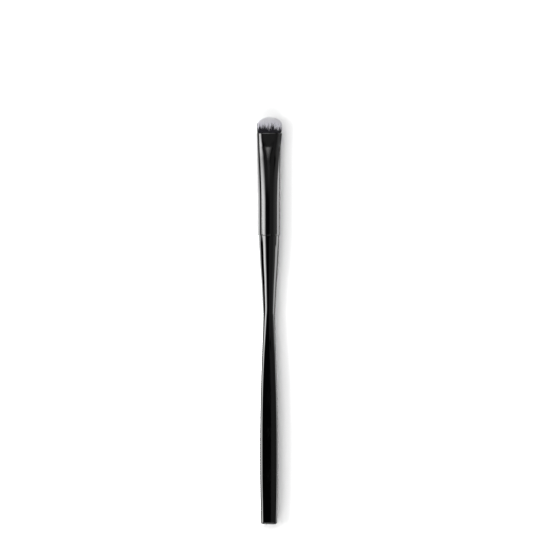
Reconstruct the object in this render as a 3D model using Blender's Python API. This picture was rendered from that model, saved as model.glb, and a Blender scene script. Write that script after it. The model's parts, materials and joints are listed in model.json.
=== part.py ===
"""Smudge brush: a short domed tuft in a pressed ferrule, on a waisted handle.

The brush is modelled along Y, with its tip towards +Y, its butt towards -Y and its flat faces up and
down. One empty then lays it on the surface, where the ferrule and the swell of the handle touch.
All lengths are in metres.
"""

import math
import random

import bmesh
import bpy
from mathutils import Vector

# Handle: lengths run back from the shoulder that meets the ferrule
HANDLE_LENGTH = 0.1135
NECK_WIDTH = 0.0082
WAIST_WIDTH = 0.00496
SWELL_WIDTH = 0.00741
BUTT_WIDTH = 0.00662
WAIST_DISTANCE = 0.0310
SWELL_DISTANCE = 0.0853
ROUND_LENGTH = 0.0255
SQUARE_DISTANCE = 0.0648
SHOULDER_EDGE = 0.00012
BUTT_EDGE = 0.0007
TENON_LENGTH = 0.0160
TENON_LEAD = 0.0008

# Exponent of the handle's section: 2 is a circle, and more is squarer
ROUND_POWER = 2.0
SQUARE_POWER = 5.0

# Handle outline as shares of each run's length and of its change in width
NECK_OUTLINE_SHARES = (
    (0.0, 0.0), (0.08, 0.01), (0.24, 0.13), (0.37, 0.25),
    (0.62, 0.60), (0.87, 0.86), (0.96, 0.97), (1.0, 1.0),
)
SWELL_OUTLINE_SHARES = (
    (0.0, 0.0), (0.03, 0.02), (0.07, 0.06), (0.15, 0.14), (0.29, 0.36),
    (0.43, 0.56), (0.58, 0.75), (0.72, 0.89), (0.87, 0.98), (1.0, 1.0),
)
BUTT_OUTLINE_SHARES = (
    (0.0, 0.0), (0.31, 0.07), (0.45, 0.18), (0.59, 0.37),
    (0.73, 0.64), (0.87, 0.85), (1.0, 1.0),
)
OUTLINE_STEPS = 2

# Ferrule: lengths run back from the mouth
FERRULE_LENGTH = 0.0400
FERRULE_WIDTH = 0.00866
FERRULE_WALL = 0.00035
MOUTH_WIDTH = 0.00992
MOUTH_THICKNESS = 0.0052
MOUTH_EDGE = 0.00012
CREASE_DISTANCE = 0.0054
CREASE_WIDTH = 0.00917
CREASE_THICKNESS = 0.0056
FAIRING_LENGTH = 0.0220
FAIRING_POWER = 2.0
FAIRING_STEPS = 8

# Fits between the pieces
SEAT_GAP = 0.00020
BOND_GAP = 0.00010
ADHESIVE_WALL = 0.00020
ADHESIVE_SETBACK = 0.0010

# Root plug: cured behind the fibres, keyed into the flattened ferrule
ROOT_DEPTH = 0.0015
BACKING_LENGTH = 0.0030
PLUG_LENGTH = 0.0120
PLUG_STEPS = 6

# Tuft
TUFT_LENGTH = 0.0065
TUFT_WIDTH = 0.0099
TUFT_THICKNESS = 0.0049
TUFT_SIDE_LENGTH = 0.0034
DARK_LENGTH = 0.0030
PALE_LENGTH = 0.0042
LAYER_COUNT = 5
ROWS_PER_LAYER = 2
STRANDS_ACROSS = 20
STRAND_GAP = 0.00009
STRAND_LEAN = 0.00006
LAYER_GAP = 0.00008
TOP_ROW_SHARE = 0.94
STRAND_BEND_SHARE = 0.7
STRAND_TIP_SHARE = 0.62
STRAND_LENGTH_SHARES = (0.95, 1.0)
TUFT_SEED = 7

# Smoothness
RING_SEGMENTS = 40
EDGE_STEPS = 3
SHARP_ANGLE = math.radians(35.0)

# Places along the brush, with the middle of its whole length at zero
BRUSH_LENGTH = HANDLE_LENGTH + SEAT_GAP + FERRULE_LENGTH + TUFT_LENGTH
TIP_Y = BRUSH_LENGTH / 2
MOUTH_Y = TIP_Y - TUFT_LENGTH
FERRULE_REAR_Y = MOUTH_Y - FERRULE_LENGTH
SHOULDER_Y = FERRULE_REAR_Y - SEAT_GAP


def clear_scene():
    """Remove whatever the scene holds."""
    for old in list(bpy.data.objects):
        bpy.data.objects.remove(old, do_unlink=True)


def ease(share):
    """Smooth step from zero to one."""
    held = min(max(share, 0.0), 1.0)
    return held * held * (3.0 - 2.0 * held)


def between(start, end, share):
    """The value a share of the way from start to end."""
    return start + (end - start) * share


def curve_slopes(points):
    """Slopes for a smooth curve that keeps to the rise and fall of its points."""
    chords = [(b[1] - a[1]) / (b[0] - a[0]) for a, b in zip(points, points[1:])]
    slopes = [0.0]
    for before, after in zip(chords, chords[1:]):
        level = before * after <= 0.0
        slopes.append(0.0 if level else 2.0 * before * after / (before + after))
    slopes.append(0.0)
    return slopes


def curve_value(points, slopes, index, share):
    """Height of the smooth curve a share of the way through one span."""
    run = points[index + 1][0] - points[index][0]
    squared = share * share
    cubed = squared * share
    return (
        (2.0 * cubed - 3.0 * squared + 1.0) * points[index][1]
        + (cubed - 2.0 * squared + share) * run * slopes[index]
        + (3.0 * squared - 2.0 * cubed) * points[index + 1][1]
        + (cubed - squared) * run * slopes[index + 1]
    )


def handle_outline():
    """Pairs of distance behind the shoulder and width, from the neck to the butt."""
    runs = (
        (0.0, WAIST_DISTANCE, NECK_WIDTH, WAIST_WIDTH, NECK_OUTLINE_SHARES),
        (WAIST_DISTANCE, SWELL_DISTANCE, WAIST_WIDTH, SWELL_WIDTH, SWELL_OUTLINE_SHARES),
        (SWELL_DISTANCE, HANDLE_LENGTH, SWELL_WIDTH, BUTT_WIDTH, BUTT_OUTLINE_SHARES),
    )
    points = []
    for start, end, width_from, width_to, shares in runs:
        for along, change in shares[1 if points else 0:]:
            points.append((between(start, end, along), between(width_from, width_to, change)))
    return points


def handle_stations():
    """The outline resampled on its smooth curve."""
    points = handle_outline()
    slopes = curve_slopes(points)
    stations = []
    for index in range(len(points) - 1):
        for step in range(OUTLINE_STEPS):
            share = step / OUTLINE_STEPS
            distance = between(points[index][0], points[index + 1][0], share)
            stations.append((distance, curve_value(points, slopes, index, share)))
    stations.append(points[-1])
    return stations


def handle_power(distance):
    """Squareness of the handle's section at a distance behind the shoulder."""
    blend = ease((distance - ROUND_LENGTH) / (SQUARE_DISTANCE - ROUND_LENGTH))
    return between(ROUND_POWER, SQUARE_POWER, blend)


def squared_ring(half_width, power, y):
    """A section of the handle, from round to rounded square."""
    ring = []
    for number in range(RING_SEGMENTS):
        angle = math.tau * number / RING_SEGMENTS
        across = abs(math.cos(angle)) ** power
        up = abs(math.sin(angle)) ** power
        reach = half_width / (across + up) ** (1.0 / power)
        ring.append(Vector((reach * math.cos(angle), y, reach * math.sin(angle))))
    return ring


def pressed_point(half_width, half_thickness, turn_share):
    """Point a share of the way round the quarter of a pressed section, from its side to its top."""
    flat = half_width - half_thickness
    flat_share = flat / (flat + half_thickness * math.pi / 2)
    if turn_share <= 1.0 - flat_share:
        angle = math.pi / 2 * turn_share / (1.0 - flat_share)
        return flat + half_thickness * math.cos(angle), half_thickness * math.sin(angle)
    return flat * (1.0 - turn_share) / flat_share, half_thickness


def pressed_ring(half_width, half_thickness, y):
    """A section of a pressed tube: round ends joined by flats, or a circle if its halves agree."""
    quarter = RING_SEGMENTS // 4
    ring = []
    for number in range(4 * quarter):
        corner, step = divmod(number, quarter)
        turn_share = step / quarter if corner % 2 == 0 else 1.0 - step / quarter
        x, z = pressed_point(half_width, half_thickness, turn_share)
        side = 1.0 if corner in (0, 3) else -1.0
        top = 1.0 if corner < 2 else -1.0
        ring.append(Vector((x * side, y, z * top)))
    return ring


def pressed_half_sizes(depth):
    """Outer half width and half thickness of the ferrule at a depth behind its mouth."""
    if depth <= CREASE_DISTANCE:
        share = depth / CREASE_DISTANCE
        width = between(MOUTH_WIDTH, CREASE_WIDTH, share)
        thickness = between(MOUTH_THICKNESS, CREASE_THICKNESS, share)
        return width / 2, thickness / 2
    share = min((depth - CREASE_DISTANCE) / FAIRING_LENGTH, 1.0)
    rise = 1.0 - (1.0 - share) ** FAIRING_POWER
    width = between(CREASE_WIDTH, FERRULE_WIDTH, share)
    thickness = between(CREASE_THICKNESS, FERRULE_WIDTH, rise)
    return width / 2, thickness / 2


def ferrule_depths():
    """Depths of the ferrule's sections, closer together where its pressed stretch ends."""
    fairing_end = CREASE_DISTANCE + FAIRING_LENGTH
    depths = [MOUTH_EDGE, CREASE_DISTANCE / 2, CREASE_DISTANCE]
    for step in range(1, FAIRING_STEPS + 1):
        share = (step / FAIRING_STEPS) ** FAIRING_POWER
        depths.append(between(CREASE_DISTANCE, fairing_end, share))
    depths.append(FERRULE_LENGTH - MOUTH_EDGE)
    return depths


def tube_depths(start, end, steps):
    """Depths between two places, with the crease kept as one of them where it lies between."""
    depths = [between(start, end, step / steps) for step in range(steps + 1)]
    if start < CREASE_DISTANCE < end:
        nearest = min(range(1, steps), key=lambda index: abs(depths[index] - CREASE_DISTANCE))
        depths[nearest] = CREASE_DISTANCE
    return depths


def loft(bm, rings, close_start=True, close_end=True):
    """Skin a row of rings with quads, and close its ends."""
    rows = [[bm.verts.new(point) for point in ring] for ring in rings]
    for row, following in zip(rows, rows[1:]):
        for number in range(len(row)):
            after = (number + 1) % len(row)
            bm.faces.new((row[number], row[after], following[after], following[number]))
    if close_start:
        bm.faces.new(list(reversed(rows[0])))
    if close_end:
        bm.faces.new(rows[-1])
    return rows


def join_rims(bm, outer, inner):
    """Join two rims of a tube with a flat land."""
    for number in range(len(outer)):
        after = (number + 1) % len(outer)
        bm.faces.new((outer[number], outer[after], inner[after], inner[number]))


def finish_mesh(name, bm, material, y):
    """Turn a bmesh into a smooth shaded object seated along the brush."""
    bmesh.ops.recalc_face_normals(bm, faces=bm.faces)
    mesh = bpy.data.meshes.new(name)
    bm.to_mesh(mesh)
    bm.free()
    mesh.shade_smooth()
    mesh.set_sharp_from_angle(angle=SHARP_ANGLE)
    mesh.materials.append(material)
    piece = bpy.data.objects.new(name, mesh)
    piece.location = (0.0, y, 0.0)
    bpy.context.scene.collection.objects.link(piece)
    return piece


def plain_material(name, colour, roughness, metallic=0.0, coat=0.0):
    """A Principled material with one colour."""
    material = bpy.data.materials.new(name)
    material.use_nodes = True
    material.diffuse_color = (*colour, 1.0)
    shader = material.node_tree.nodes["Principled BSDF"]
    shader.inputs["Base Color"].default_value = (*colour, 1.0)
    shader.inputs["Roughness"].default_value = roughness
    shader.inputs["Metallic"].default_value = metallic
    shader.inputs["Coat Weight"].default_value = coat
    return material


def fibre_material():
    """Fibres that are dark at the ferrule and pale at the tips, along Y."""
    material = plain_material("fibre", (0.55, 0.55, 0.60), 0.6)
    nodes = material.node_tree.nodes
    links = material.node_tree.links
    place = nodes.new("ShaderNodeTexCoord")
    split = nodes.new("ShaderNodeSeparateXYZ")
    reach = nodes.new("ShaderNodeMapRange")
    reach.inputs["From Min"].default_value = DARK_LENGTH
    reach.inputs["From Max"].default_value = PALE_LENGTH
    tones = nodes.new("ShaderNodeMix")
    tones.data_type = "RGBA"
    tones.inputs["A"].default_value = (0.012, 0.011, 0.014, 1.0)
    tones.inputs["B"].default_value = (0.58, 0.58, 0.64, 1.0)
    links.new(place.outputs["Object"], split.inputs["Vector"])
    links.new(split.outputs["Y"], reach.inputs["Value"])
    links.new(reach.outputs["Result"], tones.inputs["Factor"])
    links.new(tones.outputs["Result"], nodes["Principled BSDF"].inputs["Base Color"])
    return material


def tenon_half_width():
    """The tenon fits the ferrule's bore with its adhesive sleeve and a clearance on either side."""
    return FERRULE_WIDTH / 2 - FERRULE_WALL - ADHESIVE_WALL - 2 * BOND_GAP


def make_handle(material):
    """Tenon, shoulder, waist, swell and squared butt in one loft, with its origin at the shoulder."""
    tenon = tenon_half_width()
    neck = NECK_WIDTH / 2
    rings = [
        squared_ring(tenon - TENON_LEAD / 2, ROUND_POWER, TENON_LENGTH),
        squared_ring(tenon, ROUND_POWER, TENON_LENGTH - TENON_LEAD),
        squared_ring(tenon, ROUND_POWER, 0.0),
        squared_ring(neck - SHOULDER_EDGE, ROUND_POWER, 0.0),
        squared_ring(neck, ROUND_POWER, -SHOULDER_EDGE),
    ]
    edge_start = HANDLE_LENGTH - BUTT_EDGE
    for distance, width in handle_stations():
        if SHOULDER_EDGE < distance < edge_start:
            rings.append(squared_ring(width / 2, handle_power(distance), -distance))
    for step in range(EDGE_STEPS + 1):
        angle = math.pi / 2 * step / EDGE_STEPS
        half_width = BUTT_WIDTH / 2 - BUTT_EDGE * (1.0 - math.cos(angle))
        distance = edge_start + BUTT_EDGE * math.sin(angle)
        rings.append(squared_ring(half_width, SQUARE_POWER, -distance))
    bm = bmesh.new()
    loft(bm, rings)
    return finish_mesh("handle", bm, material, SHOULDER_Y)


def make_ferrule(material):
    """The pressed tube, open at both ends, with its origin at the mouth."""
    outer = []
    inner = []
    for depth in ferrule_depths():
        half_width, half_thickness = pressed_half_sizes(depth)
        outer.append(pressed_ring(half_width, half_thickness, -depth))
        inner.append(pressed_ring(half_width - FERRULE_WALL, half_thickness - FERRULE_WALL, -depth))
    mouth_width, mouth_thickness = pressed_half_sizes(0.0)
    rear_width, rear_thickness = pressed_half_sizes(FERRULE_LENGTH)
    outer.insert(0, pressed_ring(mouth_width - MOUTH_EDGE, mouth_thickness - MOUTH_EDGE, 0.0))
    inner.insert(0, pressed_ring(mouth_width - FERRULE_WALL, mouth_thickness - FERRULE_WALL, 0.0))
    outer.append(pressed_ring(rear_width - MOUTH_EDGE, rear_thickness - MOUTH_EDGE, -FERRULE_LENGTH))
    inner.append(pressed_ring(rear_width - FERRULE_WALL, rear_thickness - FERRULE_WALL, -FERRULE_LENGTH))
    bm = bmesh.new()
    outer_rows = loft(bm, outer, close_start=False, close_end=False)
    inner_rows = loft(bm, inner, close_start=False, close_end=False)
    join_rims(bm, outer_rows[0], inner_rows[0])
    join_rims(bm, outer_rows[-1], inner_rows[-1])
    return finish_mesh("ferrule", bm, material, MOUTH_Y)


def make_tenon_adhesive(material):
    """The cured sleeve between the tenon and the ferrule, with its origin at the shoulder."""
    inner = tenon_half_width() + BOND_GAP
    outer = inner + ADHESIVE_WALL
    start = SEAT_GAP + ADHESIVE_SETBACK
    end = TENON_LENGTH - ADHESIVE_SETBACK
    bm = bmesh.new()
    outer_rows = loft(bm, [squared_ring(outer, ROUND_POWER, y) for y in (start, end)], False, False)
    inner_rows = loft(bm, [squared_ring(inner, ROUND_POWER, y) for y in (start, end)], False, False)
    join_rims(bm, outer_rows[0], inner_rows[0])
    join_rims(bm, outer_rows[-1], inner_rows[-1])
    return finish_mesh("tenon_adhesive", bm, material, SHOULDER_Y)


def make_root_plug(material):
    """The cured plug that fills the ferrule behind the fibres, with its origin at the mouth."""
    front = ROOT_DEPTH + BACKING_LENGTH + SEAT_GAP
    fit = FERRULE_WALL + BOND_GAP
    rings = []
    for depth in tube_depths(front, front + PLUG_LENGTH, PLUG_STEPS):
        half_width, half_thickness = pressed_half_sizes(depth)
        rings.append(pressed_ring(half_width - fit, half_thickness - fit, -depth))
    bm = bmesh.new()
    loft(bm, rings)
    return finish_mesh("root_plug", bm, material, MOUTH_Y)


def backing_half_sizes():
    """Half width and half thickness of the glued root, which passes the ferrule's mouth."""
    fit = FERRULE_WALL + BOND_GAP
    depths = (0.0, ROOT_DEPTH, ROOT_DEPTH + BACKING_LENGTH)
    sizes = [pressed_half_sizes(depth) for depth in depths]
    return min(size[0] for size in sizes) - fit, min(size[1] for size in sizes) - fit


def reach_across(half_width, half_thickness, height):
    """Half width of a flat sided, round ended section at a height share of its half thickness."""
    rounded = half_thickness * math.sqrt(max(1.0 - height * height, 0.0))
    return half_width - half_thickness + rounded


def section_place(half_width, half_thickness, across, height):
    """Point of that section at shares of its reach across and of its half thickness."""
    x = across * reach_across(half_width, half_thickness, height)
    return Vector((x, 0.0, height * half_thickness))


def fan_length():
    """Distance behind which the fibres fan out: as fast as the ferrule's lip allows."""
    fit = FERRULE_WALL + BOND_GAP
    root_width, root_thickness = backing_half_sizes()
    mouth_width, mouth_thickness = pressed_half_sizes(0.0)
    wide = (TUFT_WIDTH / 2 - root_width) / (mouth_width - fit - root_width)
    thick_root = root_thickness * TOP_ROW_SHARE
    thick = (TUFT_THICKNESS / 2 * TOP_ROW_SHARE - thick_root) / (mouth_thickness - fit - thick_root)
    return ROOT_DEPTH * max(wide, thick, 1.0)


def strand_place(across, height, length):
    """Where a strand passes a length beyond the mouth: it fans out from its root, then runs straight."""
    spread = min((ROOT_DEPTH + length) / fan_length(), 1.0)
    root = section_place(*backing_half_sizes(), across, height)
    full = section_place(TUFT_WIDTH / 2, TUFT_THICKNESS / 2, across, height)
    place = root.lerp(full, spread)
    place.y = length
    return place


def dome_length(across, height):
    """Length of a strand above the mouth, from the dome that the tuft is cut to."""
    inside = max(1.0 - across * across, 0.0) * max(1.0 - height * height, 0.0)
    return TUFT_SIDE_LENGTH + (TUFT_LENGTH - TUFT_SIDE_LENGTH) * math.sqrt(inside)


def layer_heights(layer):
    """Heights of the strand rows of one layer of the glued root."""
    top = backing_half_sizes()[1] * TOP_ROW_SHARE
    low = between(-top, top, layer / LAYER_COUNT)
    high = between(-top, top, (layer + 1) / LAYER_COUNT)
    low += LAYER_GAP / 2 if layer > 0 else 0.0
    high -= LAYER_GAP / 2 if layer < LAYER_COUNT - 1 else 0.0
    return [between(low, high, row / ROWS_PER_LAYER) for row in range(ROWS_PER_LAYER + 1)]


def backing_slice(bm, layer):
    """One slice of the glued root; its front face is divided into a cell for each strand."""
    half_width, half_thickness = backing_half_sizes()
    columns = STRANDS_ACROSS + layer % 2
    front = []
    for z in layer_heights(layer):
        reach = reach_across(half_width, half_thickness, z / half_thickness)
        places = [between(-reach, reach, column / columns) for column in range(columns + 1)]
        front.append([bm.verts.new((x, -ROOT_DEPTH, z)) for x in places])
    cells = []
    for row, (low, high) in enumerate(zip(front, front[1:])):
        for column in range(len(low) - 1):
            a, b, c, d = low[column], low[column + 1], high[column + 1], high[column]
            leaning = (row + column) % 2 == 0
            halves = ((a, c, b), (a, d, c)) if leaning else ((a, d, b), (b, d, c))
            cells.extend(bm.faces.new(half) for half in halves)
    rim = [edge for edge in bm.edges if edge.is_boundary]
    sides = bmesh.ops.extrude_edge_only(bm, edges=rim)["geom"]
    back = [item for item in sides if isinstance(item, bmesh.types.BMVert)]
    bmesh.ops.translate(bm, verts=back, vec=(0.0, -BACKING_LENGTH, 0.0))
    back_edges = [edge for edge in bm.edges if edge.is_boundary]
    bmesh.ops.contextual_create(bm, geom=back_edges)
    return cells


def raise_strand(bm, cell, chance):
    """Raise a three sided strand from its cell, over the swell at the mouth to its place in the dome."""
    half_width, half_thickness = backing_half_sizes()
    middle = cell.calc_center_median()
    height = middle.z / half_thickness
    across = middle.x / reach_across(half_width, half_thickness, height)
    length = dome_length(across, height) * chance.uniform(*STRAND_LENGTH_SHARES)
    lean_x = chance.uniform(-STRAND_LEAN, STRAND_LEAN)
    lean_z = chance.uniform(-STRAND_LEAN, STRAND_LEAN)
    root = list(cell.verts)
    offsets = [vert.co - middle for vert in root]
    bm.faces.remove(cell)
    bend = min(fan_length() - ROOT_DEPTH, length * STRAND_BEND_SHARE)
    stages = (
        (strand_place(across, height, bend), 1.0),
        (strand_place(across, height, length) + Vector((lean_x, 0.0, lean_z)), STRAND_TIP_SHARE),
    )
    for place, size in stages:
        ring = [bm.verts.new(place + offset * size) for offset in offsets]
        for number in range(len(ring)):
            after = (number + 1) % len(ring)
            bm.faces.new((root[number], root[after], ring[after], ring[number]))
        root = ring
    bm.faces.new(root)


def make_bristle_layer(layer, material, chance):
    """One layer of strands fused to its slice of the glued root, with its origin at the mouth."""
    bm = bmesh.new()
    cells = backing_slice(bm, layer)
    bm.normal_update()
    bmesh.ops.inset_individual(bm, faces=cells, thickness=STRAND_GAP / 2, use_even_offset=True)
    for cell in cells:
        raise_strand(bm, cell, chance)
    return finish_mesh(f"bristle_layer_{layer + 1}", bm, material, MOUTH_Y)


def lower_outline():
    """Place along the brush and height of its lowest line, about its own axis."""
    handle = [(SHOULDER_Y - distance, -width / 2) for distance, width in handle_stations()]
    ferrule = [(MOUTH_Y - depth, -pressed_half_sizes(depth)[1]) for depth in ferrule_depths()]
    return handle + ferrule


def resting_points():
    """The two points of the lowest line that touch a flat surface, either side of the middle."""
    touching = []
    for point in sorted(lower_outline()):
        while len(touching) > 1:
            (y_a, z_a), (y_b, z_b) = touching[-2:]
            if (y_b - y_a) * (point[1] - z_a) > (z_b - z_a) * (point[0] - y_a):
                break
            touching.pop()
        touching.append(point)
    pairs = list(zip(touching, touching[1:]))
    return next((pair for pair in pairs if pair[0][0] <= 0.0 <= pair[1][0]), pairs[-1])


def lay_down(pieces):
    """Rest the brush on its two touching points: the ferrule and the swell of the handle."""
    (rear_y, rear_z), (front_y, front_z) = resting_points()
    lie = math.atan2(rear_z - front_z, front_y - rear_y)
    rest = bpy.data.objects.new("brush_rest", None)
    rest.rotation_euler = (lie, 0.0, 0.0)
    rest.location = (0.0, 0.0, -front_y * math.sin(lie) - front_z * math.cos(lie))
    bpy.context.scene.collection.objects.link(rest)
    for piece in pieces:
        piece.parent = rest


def build_brush():
    """Make every piece and lay the brush down."""
    lacquer = plain_material("black_gloss_lacquer", (0.004, 0.004, 0.0045), 0.06, coat=1.0)
    satin = plain_material("black_satin_metal", (0.012, 0.012, 0.013), 0.22, metallic=0.6)
    epoxy = plain_material("amber_epoxy", (0.32, 0.20, 0.08), 0.35)
    fibre = fibre_material()
    chance = random.Random(TUFT_SEED)
    pieces = [
        make_handle(lacquer),
        make_ferrule(satin),
        make_tenon_adhesive(epoxy),
        make_root_plug(epoxy),
    ]
    for layer in range(LAYER_COUNT):
        pieces.append(make_bristle_layer(layer, fibre, chance))
    lay_down(pieces)


clear_scene()
build_brush()
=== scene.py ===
"""Smudge brush: the finish of its handle and ferrule, its fibres, and the studio that it lies in.

The brush is made along Y, from its butt at zero to the tip of the tuft, and then laid where the frame
has it. All lengths are in metres.
"""

import json
import math

import bpy
from mathutils import Matrix, Vector


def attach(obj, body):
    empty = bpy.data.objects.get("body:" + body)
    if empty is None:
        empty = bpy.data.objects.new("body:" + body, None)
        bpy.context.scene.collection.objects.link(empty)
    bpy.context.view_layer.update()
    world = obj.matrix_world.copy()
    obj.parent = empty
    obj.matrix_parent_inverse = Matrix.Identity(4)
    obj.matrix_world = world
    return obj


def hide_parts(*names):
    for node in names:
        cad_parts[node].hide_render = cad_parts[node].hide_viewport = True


MILLIMETRE = 0.001

# Kinds of socket
FLOAT = "NodeSocketFloat"
WHOLE = "NodeSocketInt"
VECTOR = "NodeSocketVector"
GEOMETRY = "NodeSocketGeometry"
MATERIAL = "NodeSocketMaterial"

# Handle: distances run back from the shoulder that meets the ferrule
HANDLE_LENGTH = 113.5 * MILLIMETRE
NECK_WIDTH = 8.2 * MILLIMETRE
WAIST_WIDTH = 4.96 * MILLIMETRE
SWELL_WIDTH = 7.41 * MILLIMETRE
BUTT_WIDTH = 6.62 * MILLIMETRE
WAIST_DISTANCE = 31.0 * MILLIMETRE
SWELL_DISTANCE = 85.3 * MILLIMETRE
ROUND_LENGTH = 25.5 * MILLIMETRE
SQUARE_DISTANCE = 64.8 * MILLIMETRE
SHOULDER_EDGE = 0.12 * MILLIMETRE
BUTT_EDGE = 0.7 * MILLIMETRE
TENON_WIDTH = 7.16 * MILLIMETRE
TENON_LENGTH = 16.0 * MILLIMETRE
TENON_LEAD = 0.8 * MILLIMETRE
ROUND_POWER = 2.0
SQUARE_POWER = 5.0
HANDLE_SHARP_ANGLE = math.radians(40.0)
HANDLE_SIDES = 128
OUTLINE_STEPS = 8
EDGE_STEPS = 10
NECK_OUTLINE_SHARES = (
    (0.0, 0.0), (0.08, 0.01), (0.24, 0.13), (0.37, 0.25),
    (0.62, 0.60), (0.87, 0.86), (0.96, 0.97), (1.0, 1.0),
)
SWELL_OUTLINE_SHARES = (
    (0.0, 0.0), (0.03, 0.02), (0.07, 0.06), (0.15, 0.14), (0.29, 0.36),
    (0.43, 0.56), (0.58, 0.75), (0.72, 0.89), (0.87, 0.98), (1.0, 1.0),
)
BUTT_OUTLINE_SHARES = (
    (0.0, 0.0), (0.31, 0.07), (0.45, 0.18), (0.59, 0.37),
    (0.73, 0.64), (0.87, 0.85), (1.0, 1.0),
)

# Ferrule: depths run back from the mouth
SEAT_GAP = 0.2 * MILLIMETRE
SEAM_GAP = 0.04 * MILLIMETRE
FERRULE_LENGTH = 40.0 * MILLIMETRE
FERRULE_WIDTH = 8.66 * MILLIMETRE
FERRULE_WALL = 0.35 * MILLIMETRE
MOUTH_WIDTH = 9.92 * MILLIMETRE
MOUTH_THICKNESS = 5.2 * MILLIMETRE
CREASE_DEPTH = 5.4 * MILLIMETRE
CREASE_WIDTH = 9.17 * MILLIMETRE
CREASE_THICKNESS = 5.6 * MILLIMETRE
FAIRING_LENGTH = 22.0 * MILLIMETRE
MOUTH_SET = 0.19 * MILLIMETRE
LIP_EDGE = 0.1 * MILLIMETRE
LIP_SEGMENTS = 3
LIP_ANGLE = math.radians(60.0)
PIPE_RADIUS = MILLIMETRE
FERRULE_SIDES = 160
FERRULE_RINGS = 120

# Dome on the ferrule's flats: a small share up to the flat length, growing to full at the crown depth
FLAT_LENGTH = 3.0 * MILLIMETRE
CROWN_DEPTH = 10.0 * MILLIMETRE
FLAT_CROWN = 0.12

# Fibres: heights run forward from the mouth
ROOT_HEIGHT = -1.4 * MILLIMETRE
ROOT_HALF_WIDTH = 4.2 * MILLIMETRE
ROOT_HALF_THICKNESS = 2.12 * MILLIMETRE
LIP_HALF_WIDTH = 4.55 * MILLIMETRE
LIP_HALF_THICKNESS = 2.2 * MILLIMETRE
TUFT_HALF_WIDTH = 4.83 * MILLIMETRE
TUFT_SET = 0.25 * MILLIMETRE
TUFT_HALF_THICKNESS = 2.5 * MILLIMETRE
BULGE_HEIGHT = 0.9 * MILLIMETRE
SIDE_HEIGHT = 3.4 * MILLIMETRE
TIP_HEIGHT = 6.5 * MILLIMETRE
FIBRE_RADIUS = 0.036 * MILLIMETRE
FIBRE_SPACING = 0.066 * MILLIMETRE
FIBRE_POINTS = 9
FIBRE_LEAN = 0.12 * MILLIMETRE
CLUMP_SIZE = 0.55 * MILLIMETRE
CLUMP_PULL = 0.35
FIBRE_SIDES = 3
ROOT_DENSITY = 1.0e9
TAPER_START_SHARE = 0.55
TIP_RADIUS_SHARE = 0.25
SHORTEST_SHARE = 0.95
LENGTH_POWER = 2.0
SECTION_STEPS = 12
LAYER_COUNT = 5
LAYER_SEED = 11
STRAND_SEED = 3
LEAN_ACROSS_SEED = 5
LEAN_UP_SEED = 7

# Places along the brush, from the butt
SHOULDER_Y = HANDLE_LENGTH
FERRULE_REAR_Y = SHOULDER_Y + SEAT_GAP
MOUTH_Y = FERRULE_REAR_Y + FERRULE_LENGTH

# Finishes: colours are red, green, blue and alpha
COAT_IOR = 1.5
NOISE_RANGE = (0.3, 0.7)
NOISE_MIDDLE = 0.5
LACQUER_BLACK = (0.0004, 0.0004, 0.0005, 1.0)
SCUFF_MARK_RANGE = (0.45, 0.8)
SCUFF_ROUGHNESS = 0.12
SCUFF_DEPTH = 0.25
DULL_MARK_RANGE = (0.6, 0.9)
DULL_ROUGHNESS = 0.02
LACQUER_RELIEF = 0.003 * MILLIMETRE
METAL_BLACK = (0.0006, 0.0006, 0.0007, 1.0)
# Lighter patches at the ferrule's mouth: partly the coat rubbed thin, partly a painted highlight on the lip.
METAL_WORN_AND_PAINTED_HIGHLIGHT = (0.05, 0.05, 0.053, 1.0)
WORN_AND_HIGHLIGHT_DEPTH_RANGE = (0.05 * MILLIMETRE, 0.45 * MILLIMETRE)
WORN_AND_HIGHLIGHT_PATCH_RANGE = (0.45, 0.75)
WORN_AND_HIGHLIGHT_ROUGHNESS = 0.08
DRAWN_ROUGHNESS = 0.02
GRAIN_HEIGHT = 0.3
DRAWN_HEIGHT = 0.15
METAL_RELIEF = 0.002 * MILLIMETRE
FIBRE_DARK = (0.006, 0.005, 0.009, 1.0)
FIBRE_PALE = (0.8, 0.79, 0.85, 1.0)
FIBRE_WHITE = (1.0, 1.0, 1.0, 1.0)
DYE_CLUMP_SHIFT = 1.1 * MILLIMETRE
DYE_STRAND_SHIFT = 0.8 * MILLIMETRE
DYE_END_RANGE = (2.0 * MILLIMETRE, 2.9 * MILLIMETRE)
# Painted light: over this range of heights the pale fibres turn whiter towards their tips, standing in for
# the tuft's own shade lower down.
PAINTED_TIP_LIGHT_RANGE = (2.0 * MILLIMETRE, 6.0 * MILLIMETRE)
STRAND_BLEACH = (-0.35, 0.15)
CLUMP_BLEACH = (-0.35, 0.1)
FIBRE_ROUGHNESS = (0.6, 0.4)
FIBRE_SPECULAR = 0.22
RESIN_DARK = (0.26, 0.15, 0.05, 1.0)
RESIN_LIGHT = (0.38, 0.25, 0.11, 1.0)
RESIN_ROUGHNESS = 0.35
RESIN_RELIEF = 0.05 * MILLIMETRE

# Floor: it turns plain white between two distances from the middle of the brush
FLOOR_REACH = 3.0
FLOOR_WHITE = (0.9, 0.9, 0.9, 1.0)
FLOOR_ROUGHNESS = 0.9
PAPER_DISTANCES = (0.17, 0.45)
PAPER_STRENGTH = 1.1

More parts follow.
